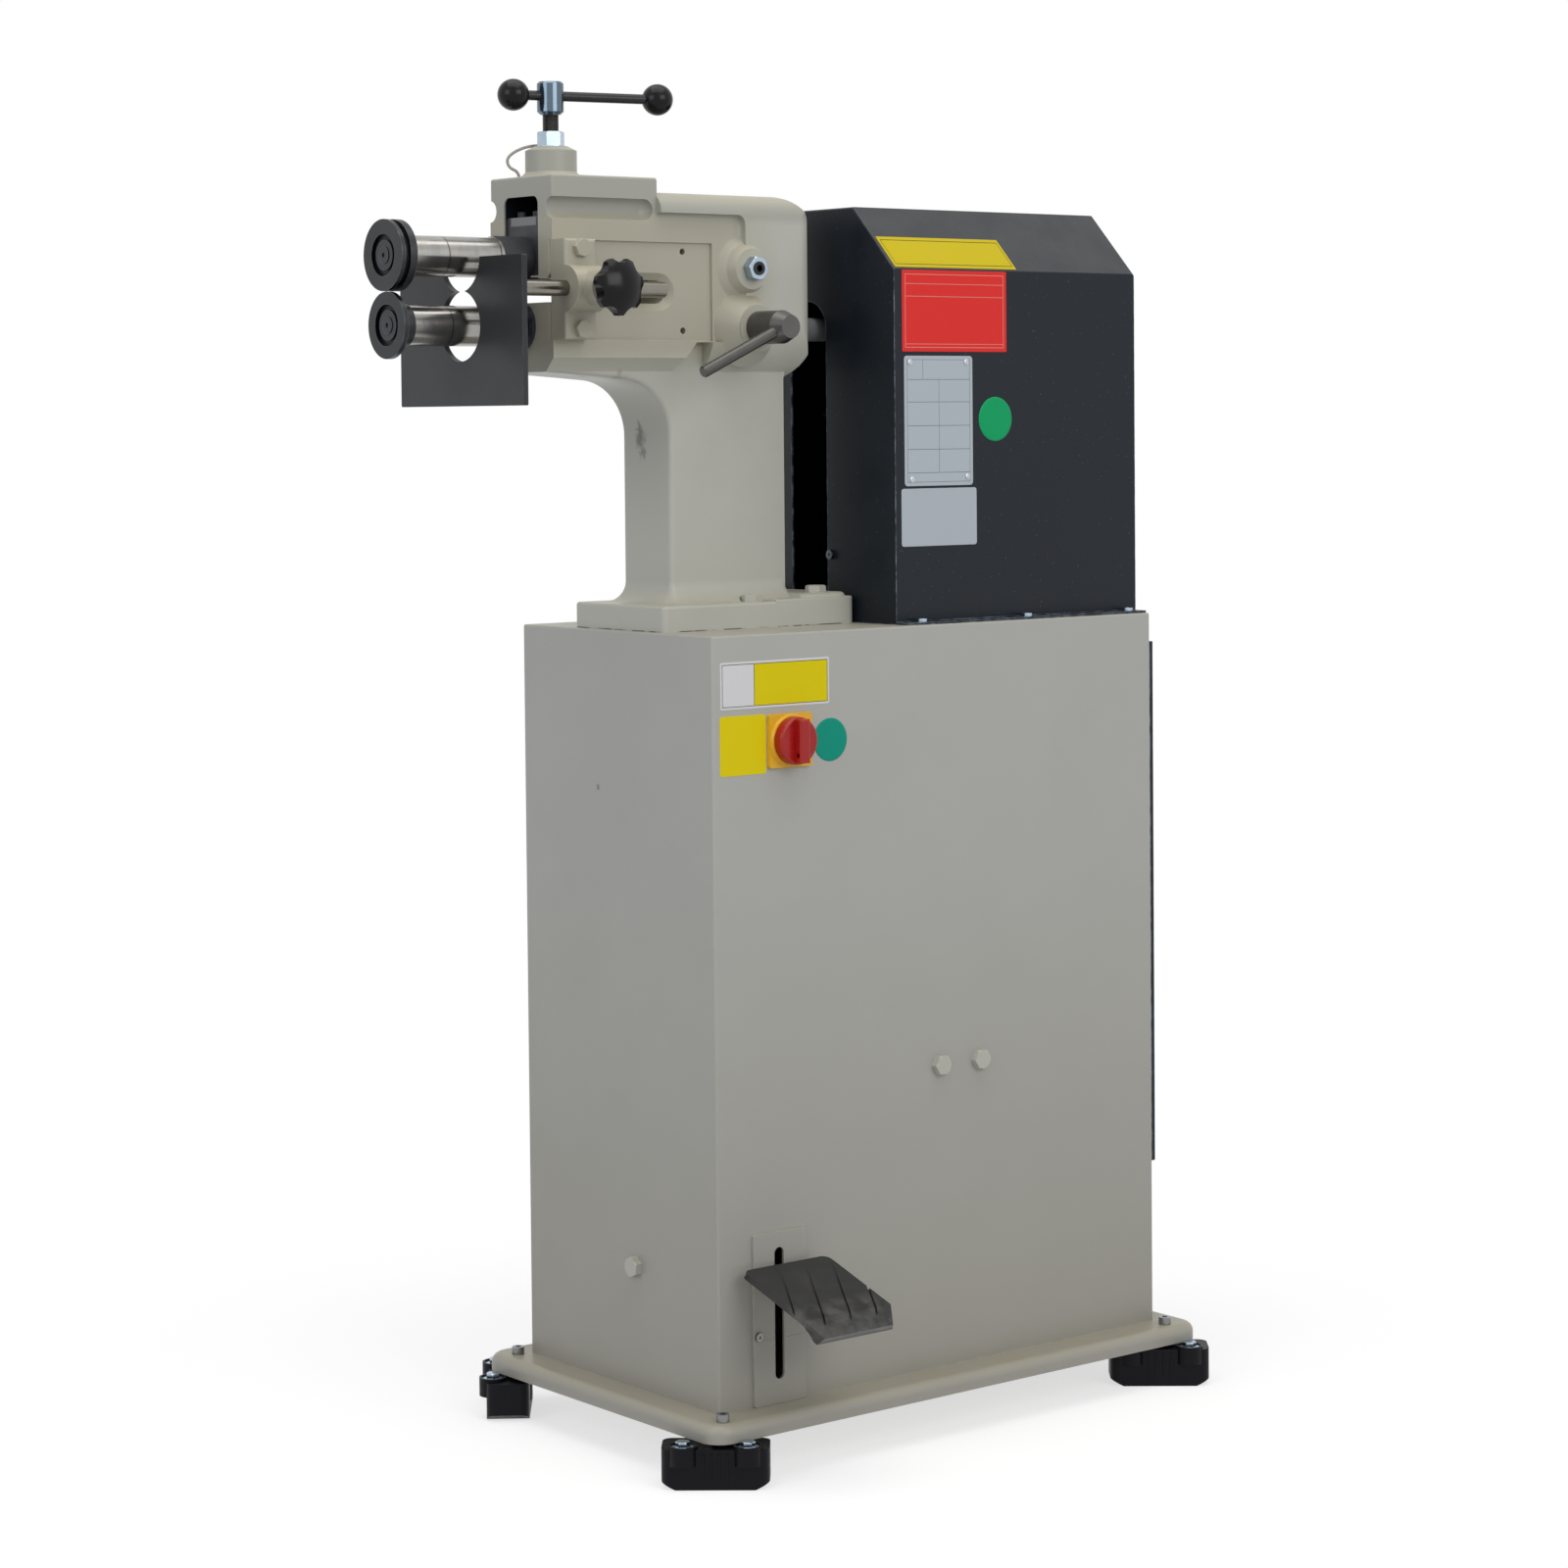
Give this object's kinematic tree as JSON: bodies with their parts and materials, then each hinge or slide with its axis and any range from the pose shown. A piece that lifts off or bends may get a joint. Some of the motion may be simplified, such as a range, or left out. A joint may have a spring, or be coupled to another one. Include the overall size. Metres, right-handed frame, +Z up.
{
  "type": "motorised swaging machine",
  "caption": "Floor-standing motorised swaging machine: cast head on a cabinet, two geared roll shafts, pressure screw, shift lever, sliding gauge, foot pedal and switch.",
  "frame": {"origin": "centre of the bounding box at the floor", "axes": "+Z up, +X along the shafts from the rolls to the motor, -Y the side with the pedal, switch and gauge knob"},
  "size_m": [0.9178, 0.5272, 1.3915],
  "materials": {
    "cabinet_paint": "semi-gloss light grey powder coat",
    "head_paint": "semi-gloss warm grey paint over a cast surface",
    "cover_black": "black powder coat with fine pale specks",
    "gauge_black": "satin black",
    "ground_steel": "ground, lightly oiled",
    "roll_steel": "turned, dark hardened",
    "gear_steel": "machined",
    "black_oxide": "black oxide, satin",
    "zinc_steel": "bright zinc plate",
    "bronze": "plain bearing bronze",
    "arm_iron": "machined, dark phosphated",
    "knob_black": "glossy black phenolic",
    "foot_plastic": "matt black moulded",
    "pedal_rubber": "ribbed rubber",
    "pedal_steel": "black paint",
    "switch_yellow": "glossy",
    "switch_red": "glossy",
    "drive_paint": "blue-grey paint",
    "box_paint": "grey paint",
    "cord_grey": "matt grey-brown sheath"
  },
  "bodies": {
    "frame": {"feet": "foot_plastic", "foot_bolts": "zinc_steel", "base_tray": "cabinet_paint", "cabinet_shell": "cabinet_paint", "cabinet_top": "cabinet_paint", "rear_door": "cover_black", "slot_plate": "cabinet_paint", "cable_gland": "foot_plastic", "head_casting": "head_paint", "lock_nuts": "zinc_steel", "pivot_screws": "black_oxide", "lower_bushes": "bronze", "lower_nose_ring": "black_oxide", "port_plate": "arm_iron", "socket_screws": "black_oxide", "gearbox": "drive_paint", "motor": "drive_paint", "motor_stand": "pedal_steel", "motor_cover": "cover_black", "panel_screws": "zinc_steel", "gauge_bracket": "head_paint", "hex_bolts": "head_paint", "switch_plate": "switch_yellow", "switch_body": "foot_plastic", "pedal_bracket": "pedal_steel", "pedal_spring": "zinc_steel", "limit_switch": "foot_plastic", "control_box": "box_paint", "tether_cord": "cord_grey"},
    "rocking_arm": {"upper_arm": "arm_iron", "screw_keeper": "gear_steel", "keeper_screws": "black_oxide", "upper_bushes": "bronze", "upper_nose_ring": "ground_steel"},
    "upper_line": {"upper_shaft": "ground_steel", "upper_roll": "roll_steel", "upper_spacer": "ground_steel", "upper_roll_screw": "black_oxide", "upper_gear": "gear_steel"},
    "pad": {"thrust_pad": "ground_steel"},
    "screw": {"pressure_screw": "black_oxide"},
    "bar": {"tommy_bar": "black_oxide", "bar_balls": "knob_black"},
    "shifter": {"shift_ring": "gear_steel"},
    "lower_line": {"lower_shaft": "ground_steel", "lower_roll": "roll_steel", "lower_spacer": "ground_steel", "lower_roll_screw": "black_oxide", "lower_gear": "gear_steel", "coupling_front": "gear_steel"},
    "lever": {"lever_hub": "black_oxide", "lever_rod": "black_oxide"},
    "gearbox_output": {"coupling_rear": "gear_steel", "coupling_spider": "pedal_rubber"},
    "gauge": {"gauge_rod": "ground_steel", "gauge_plate": "gauge_black"},
    "gauge_knob": {"star_knob": "knob_black"},
    "switch": {"switch_knob": "switch_red"},
    "pedal": {"pedal_arm": "pedal_steel", "pedal_pad": "pedal_rubber"}
  },
  "joints": [
    {"name": "arm_tilt", "type": "hinge", "parent": "frame", "child": "rocking_arm", "pos_m": [-0.05823, 0.02737, 1.204], "axis": [0, 1, 0], "range_deg": [0, 3.44]},
    {"name": "upper_spin", "type": "hinge", "parent": "rocking_arm", "child": "upper_line", "pos_m": [-0.18723, 0.02737, 1.2125], "axis": [1, 0, 0], "continuous": true},
    {"name": "pad_lift", "type": "slide", "parent": "frame", "child": "pad", "axis": [0, 0, 1], "range_m": [0, 0.01201]},
    {"name": "screw_turn", "type": "hinge", "parent": "pad", "child": "screw", "pos_m": [-0.25883, 0.02737, 1.3755], "axis": [0, 0, 1], "range_deg": [0, 2160]},
    {"name": "bar_slide", "type": "slide", "parent": "screw", "child": "bar", "axis": [0.9825, -0.1865, 0], "range_m": [-0.089, 0.0105]},
    {"name": "shift_slide", "type": "slide", "parent": "frame", "child": "shifter", "axis": [1, 0, 0], "range_m": [-0.0023, 0.0023]},
    {"name": "lower_spin", "type": "hinge", "parent": "shifter", "child": "lower_line", "pos_m": [-0.18723, 0.02737, 1.1445], "axis": [1, 0, 0], "continuous": true},
    {"name": "lever_turn", "type": "hinge", "parent": "frame", "child": "lever", "pos_m": [-0.05723, -0.09113, 1.1435], "axis": [0, 1, 0], "range_deg": [-35.09, 35.09]},
    {"name": "output_spin", "type": "hinge", "parent": "frame", "child": "gearbox_output", "pos_m": [0.14597, 0.02737, 1.1445], "axis": [1, 0, 0], "continuous": true},
    {"name": "gauge_slide", "type": "slide", "parent": "frame", "child": "gauge", "axis": [1, 0, 0], "range_m": [-0.055, 0.06]},
    {"name": "knob_turn", "type": "hinge", "parent": "frame", "child": "gauge_knob", "pos_m": [-0.27223, -0.10263, 1.1805], "axis": [0, -1, 0], "range_deg": [0, 720]},
    {"name": "switch_turn", "type": "hinge", "parent": "frame", "child": "switch", "pos_m": [-0.09193, -0.14763, 0.7289], "axis": [0, -1, 0], "range_deg": [0, 90]},
    {"name": "pedal_press", "type": "hinge", "parent": "frame", "child": "pedal", "pos_m": [-0.11173, 0.00097, 0.1876], "axis": [1, 0, 0], "range_deg": [0, 18], "stiffness_Nm_per_rad": 8, "springref_deg": -34.38, "deforming": ["pedal_spring"]}
  ],
  "couplings": [
    {"joint": "upper_spin", "follows": "lower_spin", "ratio": -1},
    {"joint": "output_spin", "follows": "lower_spin", "ratio": 1},
    {"joint": "pad_lift", "follows": "screw_turn", "m_per_rad": 0.00031831},
    {"joint": "arm_tilt", "follows": "screw_turn", "ratio": 0.001588},
    {"joint": "lever_turn", "follows": "shift_slide", "rad_per_m": 266.24}
  ]
}
